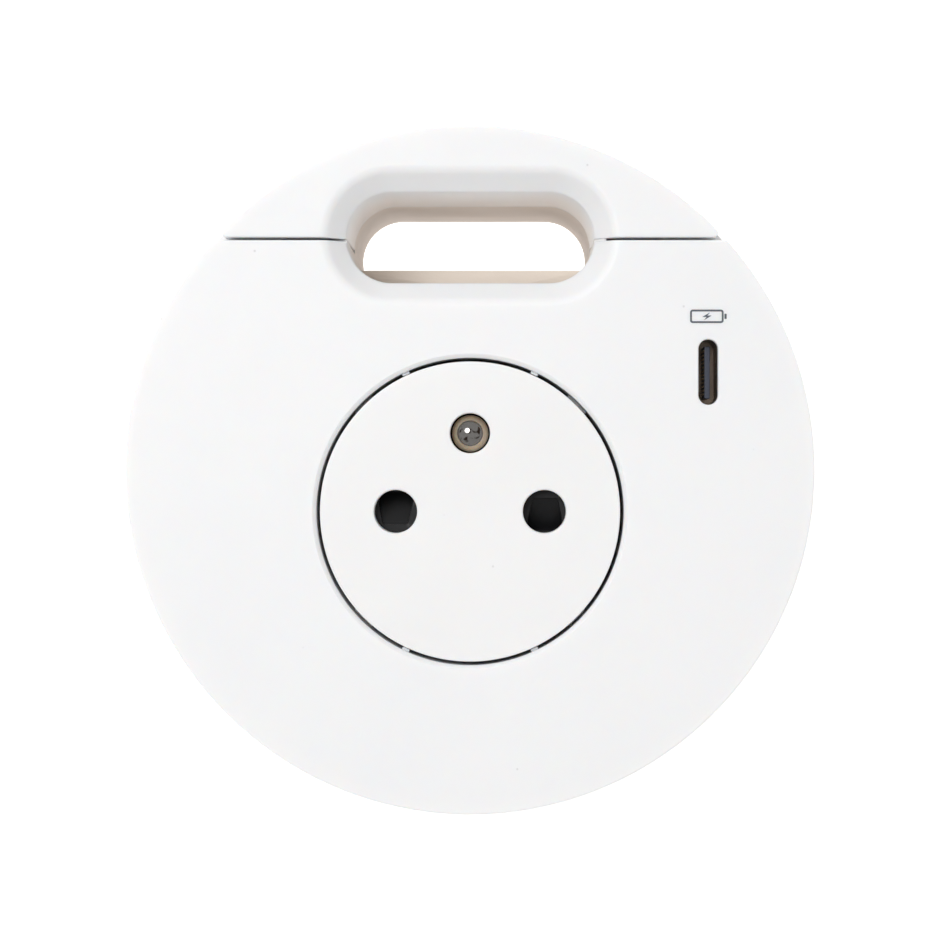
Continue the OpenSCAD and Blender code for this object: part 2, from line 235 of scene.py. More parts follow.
def flare_lines(keep):
    """Level lines of the flare, cut to where keep() holds."""
    out = []
    ds = [0.35, 0.8, 1.3, 1.75, FLARE_S]
    ds += [FLARE_W - FLARE_R * math.sin(FLARE_A * k / 11) for k in range(10, -1, -1)]
    for d in ds:
        r = SLOT_R + d
        step = 2.5
        loop = arc((SLOT_C, SLOT_Y), r, -90, 90, step) + line((SLOT_C, SLOT_Y + r), (-SLOT_C, SLOT_Y + r), 0.8)
        loop += arc((-SLOT_C, SLOT_Y), r, 90, 270, step) + line((-SLOT_C, SLOT_Y - r), (SLOT_C, SLOT_Y - r), 0.8)
        ok = [keep(q) for q in loop]
        k = next(i for i in range(len(loop)) if ok[i] and not ok[i - 1])
        run = []
        for i in range(len(loop)):
            j = (k + i) % len(loop)
            if not ok[j]:
                break
            run.append(loop[j])
        out.append(run)
    return out


def revolve(name_rows, n=192, turn=0.0):
    """A closed solid from a closed list of (radius, height) rows. A row's radius may be a function of the angle."""
    s = Shape()
    rows = []
    for r, z in name_rows:
        ring = []
        for i in range(n):
            a = 2 * math.pi * i / n + turn
            rr = r(a) if callable(r) else r
            zz = z(a) if callable(z) else z
            ring.append((rr * math.cos(a), rr * math.sin(a), zz))
        rows.append(s.add(ring))
    s.rows(rows + [rows[0]])
    return s


def lathe(profile, n=96, c=(0, 0)):
    """A closed solid from an open profile whose ends lie on the axis."""
    s = Shape()
    rows = []
    for r, z in profile:
        rows.append(s.add([(c[0] + r * math.cos(2 * math.pi * i / n), c[1] + r * math.sin(2 * math.pi * i / n), z) for i in range(n)]))
    s.rows(rows)
    return s


def round_profile(pts, rad, seg=5):
    """Rounds the corners of a profile. rad is one radius, or one for each point."""
    n = len(pts)
    rad = rad if isinstance(rad, (list, tuple)) else [rad] * n
    out = []
    for i, (p, r) in enumerate(zip(pts, rad)):
        a, b = np.array(pts[i - 1], float), np.array(pts[(i + 1) % n], float)
        p = np.array(p, float)
        u, w = a - p, b - p
        lu, lw = np.linalg.norm(u), np.linalg.norm(w)
        if r <= 0 or lu < 1e-6 or lw < 1e-6:
            out.append(tuple(p))
            continue
        u, w = u / lu, w / lw
        ang = math.acos(max(-1, min(1, float(u @ w))))
        if ang > math.pi - 0.02 or ang < 0.02:
            out.append(tuple(p))
            continue
        d = min(r / math.tan(ang / 2), lu * 0.49, lw * 0.49)
        rr = d * math.tan(ang / 2)
        mid = (u + w) / np.linalg.norm(u + w)
        c = p + mid * (rr / math.sin(ang / 2))
        s, e = p + u * d - c, p + w * d - c
        a0, a1 = math.atan2(s[1], s[0]), math.atan2(e[1], e[0])
        if a1 - a0 > math.pi:
            a1 -= 2 * math.pi
        if a1 - a0 < -math.pi:
            a1 += 2 * math.pi
        for k in range(seg + 1):
            t = a0 + (a1 - a0) * k / seg
            out.append((c[0] + rr * math.cos(t), c[1] + rr * math.sin(t)))
    return out


def prism(loop, z0, z1, r0=0.0, r1=0.0, seg=3):
    """A closed solid over a loop that has its material on the left, with rounded ends."""
    s = Shape()
    top_wall, top_in = s.edge(loop, r1, z1, seg=seg) if r1 else (s.add([(x, y, z1) for x, y in loop]),) * 2
    low_wall, low_in = s.edge(loop, r0, z0, seg=seg, up=-1) if r0 else (s.add([(x, y, z0) for x, y in loop]),) * 2
    s.band(top_wall, low_wall)
    s.cap([top_in])
    s.cap([low_in])
    return s


def rounded_box(x0, x1, y0, y1, r, step=18):
    return (arc((x1 - r, y1 - r), r, 0, 90, step) + [(x1 - r, y1)] + arc((x0 + r, y1 - r), r, 90, 180, step) + [(x0, y1 - r)]
            + arc((x0 + r, y0 + r), r, 180, 270, step) + [(x0 + r, y0)] + arc((x1 - r, y0 + r), r, 270, 360, step) + [(x1, y0 + r)])


def signed_area(p):
    return 0.5 * sum(a[0] * b[1] - b[0] * a[1] for a, b in zip(p, p[1:] + p[:1]))


def merge(s, t):
    k = len(s.v)
    s.v += t.v
    s.f += [[i + k for i in f] for f in t.f]
    s.mat += t.mat


def cut(o, cutters, op="DIFFERENCE"):
    """Cuts solids out of an object and keeps the result as its mesh."""
    for c in cutters:
        m = o.modifiers.new("cut", "BOOLEAN")
        m.operation = op
        m.solver = "EXACT"
        m.object = c
    dg = bpy.context.evaluated_depsgraph_get()
    me = bpy.data.meshes.new_from_object(o.evaluated_get(dg))
    o.modifiers.clear()
    old = o.data
    o.data = me
    bpy.data.meshes.remove(old)
    for c in cutters:
        d = c.data
        bpy.data.objects.remove(c)
        bpy.data.meshes.remove(d)


def tidy(o, sharp=38):
    bm = bmesh.new()
    bm.from_mesh(o.data)
    bmesh.ops.remove_doubles(bm, verts=bm.verts, dist=2e-6)
    bmesh.ops.dissolve_degenerate(bm, edges=bm.edges, dist=1e-7)
    bmesh.ops.delete(bm, geom=[e for e in bm.edges if not e.link_faces], context="EDGES")
    bmesh.ops.delete(bm, geom=[v for v in bm.verts if not v.link_faces], context="VERTS")
    bmesh.ops.recalc_face_normals(bm, faces=bm.faces)
    bad = sum(1 for e in bm.edges if len(e.link_faces) != 2)
    if bad:
        print("OPEN", o.name, bad)
    bm.to_mesh(o.data)
    bm.free()
    o.data.shade_smooth()
    o.data.set_sharp_from_angle(angle=math.radians(sharp))
    w = o.modifiers.new("normals", "WEIGHTED_NORMAL")
    w.keep_sharp = True
    w.weight = 80


# ------------------------------------------------------------------ materials
def new_material(name):
    m = bpy.data.materials.new(name)
    m.use_nodes = True
    nt = m.node_tree
    nt.nodes.clear()
    out = nt.nodes.new("ShaderNodeOutputMaterial")
    b = nt.nodes.new("ShaderNodeBsdfPrincipled")
    nt.links.new(b.outputs[0], out.inputs[0])
    return m, nt, b


def node(nt, kind, **values):
    n = nt.nodes.new("ShaderNode" + kind)
    for k, v in values.items():
        if k in n.inputs:
            n.inputs[k].default_value = v
        else:
            setattr(n, k, v)
    return n


def ramp(nt, src, stops):
    r = nt.nodes.new("ShaderNodeValToRGB")
    e = r.color_ramp.elements
    while len(e) > 1:
        e.remove(e[-1])
    e[0].position, e[0].color = stops[0][0], (*stops[0][1], 1)
    for p, c in stops[1:]:
        e.new(p).color = (*c, 1)
    nt.links.new(src, r.inputs[0])
    return r


def grey(v):
    return (v, v, v)


def plastic(name, color, rough=0.45, grain=0.35, bump=0.0006, specks=0.0, painted_depth_shade=None, ior=1.46, scuffs=0.0, wear=0.0, sss=0.0, level=0.5):
    """Moulded plastic: a fine spark-eroded grain, slight colour drift, pinhead specks and faint handling scuffs. grain is its size in mm."""
    m, nt, b = new_material(name)
    L = nt.links.new
    co = node(nt, "TexCoord").outputs["Object"]
    big = node(nt, "TexNoise", Scale=45.0, Detail=3.0, Roughness=0.55)
    L(co, big.inputs["Vector"])
    lo = tuple(c * 0.985 for c in color)
    hi = tuple(min(1.0, c * 1.008) for c in color)
    col = ramp(nt, big.outputs["Fac"], [(0.3, lo), (0.7, hi)]).outputs["Color"]
    if painted_depth_shade:
        # painted shade: the colour darkens and warms with depth below the face, standing for shade and warm bounce
        # light
        sep = node(nt, "SeparateXYZ")
        L(co, sep.inputs[0])
        mr = node(nt, "MapRange")
        mr.inputs["From Min"].default_value = painted_depth_shade[0] * MM
        mr.inputs["From Max"].default_value = painted_depth_shade[1] * MM
        L(sep.outputs["Z"], mr.inputs["Value"])
        r = ramp(nt, mr.outputs["Result"], painted_depth_shade[2])
        mix = node(nt, "Mix", data_type="RGBA", blend_type="MULTIPLY")
        mix.inputs[0].default_value = 1.0
        L(col, mix.inputs[6])
        L(r.outputs["Color"], mix.inputs[7])
        col = mix.outputs[2]
    if specks:
        v = node(nt, "TexVoronoi", Scale=330.0)
        L(co, v.inputs["Vector"])
        near = ramp(nt, v.outputs["Distance"], [(0.035, grey(1)), (0.07, grey(0))])
        pick = node(nt, "SeparateColor")
        L(v.outputs["Color"], pick.inputs[0])
        some = ramp(nt, pick.outputs[0], [(0.90, grey(0)), (0.92, grey(specks))])
        mul = node(nt, "Math", operation="MULTIPLY")
        L(near.outputs["Color"], mul.inputs[0])
        L(some.outputs["Color"], mul.inputs[1])
        mix = node(nt, "Mix", data_type="RGBA", blend_type="MIX")
        L(mul.outputs[0], mix.inputs[0])
        L(col, mix.inputs[6])
        mix.inputs[7].default_value = (color[0] * 0.35, color[1] * 0.34, color[2] * 0.33, 1)
        col = mix.outputs[2]
    if wear:
        ge = node(nt, "NewGeometry")
        r = ramp(nt, ge.outputs["Pointiness"], [(0.5, grey(1.0)), (0.58, grey(1.0 - wear))])
        mix = node(nt, "Mix", data_type="RGBA", blend_type="MULTIPLY")
        mix.inputs[0].default_value = 1.0
        L(col, mix.inputs[6])
        L(r.outputs["Color"], mix.inputs[7])
        col = mix.outputs[2]
    L(col, b.inputs["Base Color"])
    fine = node(nt, "TexNoise", Scale=1000.0 / grain, Detail=4.0, Roughness=0.6)
    L(co, fine.inputs["Vector"])
    rr = node(nt, "TexNoise", Scale=120.0, Detail=5.0, Roughness=0.6)
    L(co, rr.inputs["Vector"])
    rough_map = ramp(nt, rr.outputs["Fac"], [(0.3, grey(rough - 0.04)), (0.7, grey(rough + 0.05))]).outputs["Color"]
    if scuffs:
        st = node(nt, "Mapping")
        st.inputs["Scale"].default_value = (40, 900, 40)
        st.inputs["Rotation"].default_value = (0, 0, 0.6)
        L(co, st.inputs["Vector"])
        sn = node(nt, "TexNoise", Scale=1.0, Detail=2.0)
        L(st.outputs[0], sn.inputs["Vector"])
        sr = ramp(nt, sn.outputs["Fac"], [(0.66, grey(0)), (0.72, grey(scuffs))])
        add = node(nt, "Math", operation="ADD")
        L(rough_map, add.inputs[0])
        L(sr.outputs["Color"], add.inputs[1])
        rough_map = add.outputs[0]
    L(rough_map, b.inputs["Roughness"])
    bp = node(nt, "Bump", Strength=0.35, Distance=bump * 0.05)
    L(fine.outputs["Fac"], bp.inputs["Height"])
    L(bp.outputs[0], b.inputs["Normal"])
    b.inputs["IOR"].default_value = ior
    b.inputs["Specular IOR Level"].default_value = level
    if sss:
        b.inputs["Subsurface Weight"].default_value = sss
        b.inputs["Subsurface Radius"].default_value = (1.0, 0.8, 0.66)
        b.inputs["Subsurface Scale"].default_value = 0.0009
    return m


def metal(name, color, rough=0.25, brush=0.0, coat=0.0, scale=1.0):
    """Plated or drawn metal: a streaked or cloudy finish with faint tarnish."""
    m, nt, b = new_material(name)
    L = nt.links.new
    co = node(nt, "TexCoord").outputs["Object"]
    mp = node(nt, "Mapping")
    mp.inputs["Scale"].default_value = (60 * scale, 60 * scale, 60 * scale if not brush else 2600 * scale)
    L(co, mp.inputs["Vector"])
    n = node(nt, "TexNoise", Scale=6.0, Detail=6.0, Roughness=0.6)
    L(mp.outputs[0], n.inputs["Vector"])
    c = ramp(nt, n.outputs["Fac"], [(0.25, tuple(x * 0.86 for x in color)), (0.75, tuple(min(1, x * 1.04) for x in color))])
    L(c.outputs["Color"], b.inputs["Base Color"])
    r = ramp(nt, n.outputs["Fac"], [(0.3, grey(max(0.02, rough - 0.06))), (0.75, grey(rough + 0.08))])
    L(r.outputs["Color"], b.inputs["Roughness"])
    b.inputs["Metallic"].default_value = 1.0
    bp = node(nt, "Bump", Strength=0.15 if brush else 0.06, Distance=0.00002)
    L(n.outputs["Fac"], bp.inputs["Height"])
    L(bp.outputs[0], b.inputs["Normal"])
    return m


WHITE = plastic("white_shell", (0.915, 0.922, 0.940), rough=0.42, grain=0.28, bump=0.0006, specks=0.28, scuffs=0.12, sss=0.6)
# painted shade: the cover's skirt darkens and warms with depth below the face, standing for shade and warm bounce
# light in the slot
COVER = plastic("white_cover", (0.915, 0.922, 0.940), rough=0.42, grain=0.28, bump=0.0006, specks=0.28, scuffs=0.12, sss=0.6,
                painted_depth_shade=(-18, 2, [(0.0, (0.95, 0.89, 0.84)), (0.6, (1.0, 0.97, 0.94)), (1.0, (1, 1, 1))]))
FACE_WHITE = plastic("white_face", (0.915, 0.915, 0.915), rough=0.36, grain=0.22, bump=0.0005, specks=0.22, scuffs=0.12, sss=0.6)
BODY = plastic("body_plastic", (0.84, 0.84, 0.835), rough=0.5, grain=0.5, bump=0.0012, specks=0.4)
# painted shade: the slot walls darken to brown towards the bottom, standing for shade and warm bounce light deep in
# the slot
SLOT_M = plastic("slot_wall", (0.86, 0.855, 0.845), rough=0.5, grain=0.5, bump=0.0012,
                 painted_depth_shade=(-41, 1, [(0.0, (0.68, 0.58, 0.50)), (0.55, (1.0, 0.91, 0.82)), (1.0, (1, 1, 1))]))
REAR_M = plastic("rear_plastic", (0.80, 0.80, 0.79), rough=0.5, grain=0.6, bump=0.0016, specks=0.4)
NUT_M = plastic("nut_nylon", (0.76, 0.76, 0.75), rough=0.46, grain=0.8, bump=0.0016, specks=0.3)
RUBBER = plastic("rubber_grey", (0.055, 0.056, 0.058), rough=0.72, grain=0.35, bump=0.003)
BLACK = plastic("black_carrier", (0.022, 0.0225, 0.025), rough=0.42, grain=0.35, bump=0.001)
# black acetal, made darker still by painted shade that stands for the shade inside the pin holes
SHUTTER_SHADED = plastic("shutter_acetal_painted_shade", (0.006, 0.0062, 0.007), rough=0.34, grain=0.25, bump=0.0006, level=0.3)
SLATE = plastic("slate_tongue", (0.038, 0.047, 0.074), rough=0.38, grain=0.2, bump=0.0005)
STEEL = metal("zinc_steel", (0.62, 0.63, 0.65), rough=0.32, scale=6)
SPRING = metal("spring_wire", (0.55, 0.56, 0.58), rough=0.28, brush=1)
CHROME = metal("nickel_pin", (0.80, 0.80, 0.81), rough=0.11, brush=1)
# a painted dark reflection: the crown's nickel is far darker than real nickel, so it mirrors as dark
CROWN_DARK_REFLECTION = metal("nickel_crown_painted_reflection", (0.24, 0.23, 0.22), rough=0.09, scale=4)
# a painted reflection: the warm tan shoulder stands for the beige hole wall mirrored in the pin
SHOULDER_REFLECTION = metal("shoulder_painted_reflection", (0.74, 0.64, 0.51), rough=0.36, scale=8)
BRASS = metal("brass_strip", (0.78, 0.58, 0.27), rough=0.3, scale=8)
# painted shade: the shell's nickel is dark and brownish, standing for the shade deep inside the port
DRAWN_PAINTED_SHADE = metal("drawn_nickel_painted_shade", (0.20, 0.165, 0.135), rough=0.3, brush=1)
GOLD = metal("contact_gold", (0.55, 0.42, 0.20), rough=0.25, scale=10)
WASHER_M = metal("washer_zinc", (0.60, 0.61, 0.62), rough=0.36, brush=1)


def board_material():
    m, nt, b = new_material("circuit_board")
    L = nt.links.new
    co = node(nt, "TexCoord").outputs["Object"]
    br = node(nt, "TexBrick", Scale=420.0)
    br.inputs["Color1"].default_value = (0.012, 0.13, 0.05, 1)
    br.inputs["Color2"].default_value = (0.016, 0.16, 0.065, 1)
    br.inputs["Mortar"].default_value = (0.03, 0.24, 0.10, 1)
    br.inputs["Mortar Size"].default_value = 0.06
    mp = node(nt, "Mapping")
    mp.inputs["Rotation"].default_value = (0, math.pi / 2, 0)
    L(co, mp.inputs["Vector"])
    L(mp.outputs[0], br.inputs["Vector"])
    n = node(nt, "TexNoise", Scale=300.0, Detail=4.0)
    L(co, n.inputs["Vector"])
    L(br.outputs["Color"], b.inputs["Base Color"])
    r = ramp(nt, n.outputs["Fac"], [(0.3, grey(0.18)), (0.7, grey(0.32))])
    L(r.outputs["Color"], b.inputs["Roughness"])
    bp = node(nt, "Bump", Strength=0.3, Distance=0.00005)
    L(br.outputs["Fac"], bp.inputs["Height"])
    L(bp.outputs[0], b.inputs["Normal"])
    return m


BOARD = board_material()
FERRITE = plastic("ferrite_core", (0.09, 0.085, 0.08), rough=0.55, grain=0.3, bump=0.004, specks=0.4)
SLEEVE = plastic("cap_sleeve", (0.02, 0.035, 0.10), rough=0.28, grain=0.9, bump=0.0008)
EPOXY = plastic("chip_epoxy", (0.018, 0.018, 0.02), rough=0.5, grain=0.15, bump=0.002)
WIRE_L = plastic("pvc_brown", (0.17, 0.06, 0.022), rough=0.38, grain=0.8, bump=0.0008)
WIRE_N = plastic("pvc_blue", (0.03, 0.12, 0.40), rough=0.38, grain=0.8, bump=0.0008)
WIRE_E = plastic("pvc_green", (0.28, 0.42, 0.03), rough=0.38, grain=0.8, bump=0.0008)
WIRE_D = plastic("pvc_red", (0.34, 0.02, 0.02), rough=0.38, grain=0.8, bump=0.0008)
INK = plastic("print_grey", (0.105, 0.115, 0.135), rough=0.5, grain=0.2, bump=0.0004)


# ------------------------------------------------------------------ the face
def seam_corner(y, rc, up):
    """Where a corner of radius rc lies between the rim and the seam. up is 1 for the cover, -1 for the plate."""
    cy = y + up * rc
    cx = math.sqrt((R - rc) ** 2 - cy ** 2)
    return cx, cy, math.degrees(math.atan2(cy, cx))


def front_plate():
    s = Shape()
    rc, rs = 0.85, 0.3
    cx, cy, phi = seam_corner(SEAM_LO, rc, -1)
    off = SLOT_Y - (SEAM_LO - rs)
    xq = SLOT_C + math.sqrt((SLOT_R + rs) ** 2 - off ** 2)
    dl = math.degrees(math.atan2(off, xq - SLOT_C))
    fine = 19.8
    loop, rad = [], []

    def put(pts, r):
        loop.extend(pts)
        rad.extend([r] * len(pts) if not callable(r) else [r(i / len(pts)) for i in range(len(pts))])

    RIM, SEAM, EDGE = 0.32, 0.2, 0.22
    put(arc((0, 0), R, 180 - phi, 360 + phi, 1.25), RIM)
    put(arc((cx, cy), rc, phi, 90, 4), lambda t: RIM + (SEAM - RIM) * min(1, t * 1.3))
    put(line((cx, SEAM_LO), (fine, SEAM_LO), 1.2), SEAM)
    put(line((fine, SEAM_LO), (xq, SEAM_LO), 0.12), SEAM)
    put(arc((xq, SEAM_LO - rs), rs, 90, 180 + dl * -1 + 2 * dl - 0, 12), SEAM)
    put(arc((SLOT_C, SLOT_Y), SLOT_R, -dl, -90, 2.5), EDGE)
    put(line((SLOT_C, SLOT_Y - SLOT_R), (-SLOT_C, SLOT_Y - SLOT_R), 0.8), EDGE)
    put(arc((-SLOT_C, SLOT_Y), SLOT_R, -90, -180 + dl, 2.5), EDGE)
    put(arc((-xq, SEAM_LO - rs), rs, -dl, 90, 12), SEAM)
    put(line((-xq, SEAM_LO), (-fine, SEAM_LO), 0.12), SEAM)
    put(line((-fine, SEAM_LO), (-cx, SEAM_LO), 1.2), SEAM)
    put(arc((-cx, cy), rc, 90, 180 - phi, 4), lambda t: SEAM + (RIM - SEAM) * max(0, (t - 0.23) * 1.3))
    wall, inner = s.edge(loop, rad, FACE, down=flare, seg=6)
    low_wall, low = s.edge(loop, 0.12, SEAT, seg=2, up=-1)
    s.band(wall, low_wall)
    # well
    chamfer = [(20.2, 0.0), (20.12, 0.03), (19.72, 0.42), (WELL, 0.5)]
    well = [s.add([(x, y, FACE - d) for x, y in circle(SOCKET, r, 200, hole=True)]) for r, d in chamfer]
    s.rows(well)
    w_in, w_wall = well[0], well[-1]
    bottom = s.drop(w_wall, BASE, 3)
    t_top = s.add([(x, y, SEAT) for x, y in circle(SOCKET, TUBE, 160)])
    t_low = s.add([(x, y, BASE) for x, y in circle(SOCKET, TUBE, 160)])
    s.band(t_top, t_low)
    s.cap([bottom, t_low])
    # port
    p_wall, p_in = s.edge(stadium(PORT, 2.93, 1.25, 6, hole=True, upright=True), 0.16, FACE, seg=4)
    p_bot = s.drop(p_wall, 3.5)
    q_top = s.add([(x, y, 3.5) for x, y in stadium(PORT, 2.93, 1.7, 6, hole=True, upright=True)])
    q_low = s.drop(q_top, SEAT)
    s.cap([p_bot, q_top])
    # posts for the screws
    posts = []
    for x, y in ((-12, -32), (12, -32), (-33.5, 7), (33.5, -7)):
        a = s.add([(u, v, SEAT) for u, v in circle((x, y), 2.3, 40)])
        b = s.drop(a, -4.5)
        h0 = s.add([(u, v, -4.5) for u, v in circle((x, y), 1.25, 32)])
        h1 = s.drop(h0, 1.0)
        s.cap([b, h0])
        s.cap([h1])
        posts.append(a)
    s.cap([inner, w_in, p_in], face_z, flare_lines(lambda q: q[1] < SEAM_LO - 0.32))
    s.cap([low, t_top, q_low] + posts)
    # guide ribs in the gap round the push-in face
    for a in (65, 115, 245, 295):
        t = prism(rounded_box(WELL - 0.38, WELL + 0.3, -0.5, 0.5, 0.14), BASE + 1, 4.0, 0.08, 0.09)
        t.shift(turn=math.radians(a))
        t.shift(x=SOCKET[0], y=SOCKET[1])
        merge(s, t)
    # bosses for the base
    for a in (90, 250, 290):
        x, y = 23.6 * math.cos(math.radians(a)), SOCKET[1] + 23.6 * math.sin(math.radians(a))
        t = prism(circle((x, y), 2.6, 40), BASE, -8, 0.1, 0.5)
        merge(s, t)
    return s.make("plate_moulding", mats=[WHITE])


def cable_cover():
    s = Shape()
    rc, rs = 0.6, 0.3
    cx, cy, phi = seam_corner(SEAM_HI, rc, 1)
    off = (SEAM_HI + rs) - SLOT_Y
    xq = SLOT_C + math.sqrt((SLOT_R + rs) ** 2 - off ** 2)
    dl = math.degrees(math.atan2(off, xq - SLOT_C))
    fine = 19.8
    rk = 38.3
    xk = math.sqrt(rk ** 2 - SEAM_HI ** 2)
    RIM, SEAM, EDGE = 0.32, 0.2, 0.22
    loop, rad, tag = [], [], []

    def put(pts, r, t):
        loop.extend(pts)
        rad.extend([r] * len(pts) if not callable(r) else [r(i / len(pts)) for i in range(len(pts))])
        tag.extend([t] * len(pts))

    put(arc((0, 0), R, phi, 180 - phi, 1.25), RIM, "rim")
    put(arc((-cx, cy), rc, 180 - phi, 270, 5), lambda t: RIM + (SEAM - RIM) * min(1, t * 1.3), "rim")
    put(line((-cx, SEAM_HI), (-xk, SEAM_HI), 1.2), SEAM, "seam")
    put(line((-xk, SEAM_HI), (-fine, SEAM_HI), 1.2), SEAM, "in")
    put(line((-fine, SEAM_HI), (-xq, SEAM_HI), 0.12), SEAM, "in")
    put(arc((-xq, SEAM_HI + rs), rs, -90, -dl, 12), SEAM, "in")
    put(arc((-SLOT_C, SLOT_Y), SLOT_R, 180 - dl, 90, 2.5), EDGE, "in")
    put(line((-SLOT_C, SLOT_Y + SLOT_R), (SLOT_C, SLOT_Y + SLOT_R), 0.8), EDGE, "in")
    put(arc((SLOT_C, SLOT_Y), SLOT_R, 90, dl, 2.5), EDGE, "in")
    put(arc((xq, SEAM_HI + rs), rs, 180 + dl, 270, 12), SEAM, "in")
    put(line((xq, SEAM_HI), (fine, SEAM_HI), 0.12), SEAM, "in")
    put(line((fine, SEAM_HI), (xk, SEAM_HI), 1.2), SEAM, "in")
    put([(xk, SEAM_HI)], SEAM, "in")
    put(line((xk, SEAM_HI), (cx, SEAM_HI), 1.2)[1:], SEAM, "seam")
    put(arc((cx, cy), rc, -90, phi, 5), lambda t: SEAM + (RIM - SEAM) * max(0, (t - 0.23) * 1.3), "rim")
    wall, inner = s.edge(loop, rad, FACE, down=flare, seg=6)
    under = [0.12 if t == "rim" else 0.0 for t in tag]
    low_wall, low = s.edge(loop, under, SEAT, seg=2, up=-1)
    s.band(wall, low_wall)
    s.cap([inner], face_z, flare_lines(lambda q: q[1] > SEAM_HI + 0.32))
    # skirt
    first, last = tag.index("in"), len(tag) - 1 - tag[::-1].index("in")
    mid = low[first:last + 1]
    a0 = math.degrees(math.atan2(SEAM_HI, xk))
    bow = s.add([(x, y, SEAT) for x, y in arc((0, 0), rk, a0, 180 - a0, 1.5)[1:]])
    ring = mid + bow
    s.cap([low[last:] + low[:first + 1] + bow[::-1]])
    n0 = s.drop(ring, BASE + 0.3, 4)
    loop2 = [s.v[i][:2] for i in ring]
    w2, in2 = s.edge(loop2, 0.2, BASE, seg=3, up=-1)
    s.band(n0, w2)
    s.cap([in2])
    return s.make("cover_moulding", mats=[COVER])


def socket_face():
    s = Shape()
    c = SOCKET
    wall, inner = s.edge(circle(c, 19.15, 200), 0.15, FACE, seg=5)
    under = s.drop(wall, 2.4)
    tops, lows = [inner], [under]
    for x, y, r, e in ((-9.5, 0, 2.75, 0.22), (9.5, 0, 2.75, 0.22), (0, 10, 2.55, 0.2)):
        w, i = s.edge(circle((c[0] + x, c[1] + y), r, 72, hole=True), e, FACE, seg=5)
        tops.append(i)
        lows.append(s.drop(w, 2.4))
    # skirt, pivot and screw bosses below
    o = s.add([(x, y, 2.4) for x, y in circle(c, 18.9, 160)])
    i = s.add([(x, y, 2.4) for x, y in circle(c, 17.5, 160)])
    ol, il = s.drop(o, -2.6, 2), s.drop(i, -2.6, 2)
    s.cap([ol, il])
    s.cap([under, o])
    lows[0] = i
    for x, y, r, z in ((0, 0, 2.2, -0.6), (0, -15, 2.0, -0.6), (0, 14.7, 2.0, -0.6)):
        b = s.add([(u, v, 2.4) for u, v in circle((c[0] + x, c[1] + y), r, 40)])
        e = s.drop(b, z)
        if x == 0 and y == 0:
            s.cap([e])
        else:
            h = s.add([(u, v, z) for u, v in circle((c[0] + x, c[1] + y), 0.85, 24)])
            s.cap([e, h])
            s.cap([s.drop(h, 3.6)])
        lows.append(b)
    s.cap(tops)
    s.cap(lows)
    for a in (45, 135, 225, 315):
        t = prism(rounded_box(18.3, 20.45, -1.6, 1.6, 0.25), -2.5, -0.5, 0.12, 0.16)
        t.shift(turn=math.radians(a))
        t.shift(x=c[0], y=c[1])
        merge(s, t)
    # one clip carries a pad that reaches higher up the gap
    t = prism(rounded_box(18.8, 19.5, -1.2, 1.2, 0.15), -0.6, 1.6, 0.0, 0.09)
    t.shift(turn=math.radians(315))
    t.shift(x=c[0], y=c[1])
    merge(s, t)
    return s.make("face_moulding", mats=[FACE_WHITE])


def shutter():
    """Two blades on a hub. Each has a ramp sunk between low side walls."""
    s = Shape()
    ca, sa = math.cos(math.radians(19.5)), math.sin(math.radians(19.5))

    def fall(x, y):
        return 0.3 + min(1.0, max(0.0, (y + 2.3) / 3.9)) * 1.55

    for k in (0, math.pi):
        start = len(s.v)
        out = arc((0, 0), 13.1, -19.5, 19.5, 2) + line((13.1 * ca, 13.1 * sa), (3.5 * ca, 3.5 * sa), 1.2)
        out += arc((0, 0), 3.5, 19.5, -19.5, 6) + line((3.5 * ca, -3.5 * sa), (13.1 * ca, -13.1 * sa), 1.2)
        wall, inner = s.edge(out, 0.14, 2.2, seg=3)
        low = s.drop(wall, -0.5)
        s.cap([low])
        hole = round_profile([(8.05, 1.62), (7.5, -0.7), (7.3, -1.9), (8.3, -2.5), (11.85, -2.6), (11.7, -0.7), (11.2, 1.62)][::-1], 0.18, 3)
        hw, hi = s.edge(hole[::-1] if signed_area(hole) > 0 else hole, 0.1, 2.2, seg=3)
        floor = s.add([(s.v[i][0], s.v[i][1], fall(*s.v[i][:2])) for i in hw])
        s.band(hw, floor)
        s.cap([inner, hi])
        s.cap([floor], fall, [[(8.6, -2.25), (9.5, -2.25), (11.6, -2.25)]])
        s.shift(turn=k, start=start)
    hub = revolve(round_profile([(2.3, -0.5), (4.6, -0.5), (4.6, 2.2), (3.2, 2.2), (3.2, 0.1), (2.3, 0.1)], 0.12, 3), 64)
    merge(s, hub)
    s.shift(x=SOCKET[0], y=SOCKET[1])
    return s.make("shutter_blades", mats=[SHUTTER_SHADED])


def earth_pin():
    # a shallow dome that turns down more tightly into the shank
    r, top, bend = 2.36, 4.7, math.radians(38)
    cap = 2.7
    r1, z1 = cap * math.sin(bend), top - cap * (1 - math.cos(bend))
    side = (r - r1) / (1 - math.sin(bend))
    prof = [(0, top)] + [(cap * math.sin(a), top - cap * (1 - math.cos(a))) for a in np.linspace(0, bend, 12)[1:]]
    prof += [(r1 + side * (math.sin(a) - math.sin(bend)), z1 - side * (math.cos(bend) - math.cos(a))) for a in np.linspace(bend, math.pi / 2, 14)[1:]]
    prof += [(r, -30.9), (2.4, -31.0), (3.4, -31.0), (3.6, -31.2), (3.6, -33.0), (3.4, -33.2), (2.4, -33.2), (2.4, -34.0), (1.6, -34.0), (1.6, -35.2), (1.4, -35.4), (0, -35.4)]
    s = lathe(prof, 72, (0, SOCKET[1] + 10))
    # the polished crown in dark nickel as a painted dark reflection, the tan shoulder round it as a painted reflection
    # of the hole wall, and the plated shank
    for k, f in enumerate(s.f):
        z = sum(s.v[i][2] for i in f) / len(f)
        s.mat[k] = 1 if z > z1 else 2 if z > top - 2.2 else 0
    return s.make("earth_pin_turned", mats=[CHROME, CROWN_DARK_REFLECTION, SHOULDER_REFLECTION])


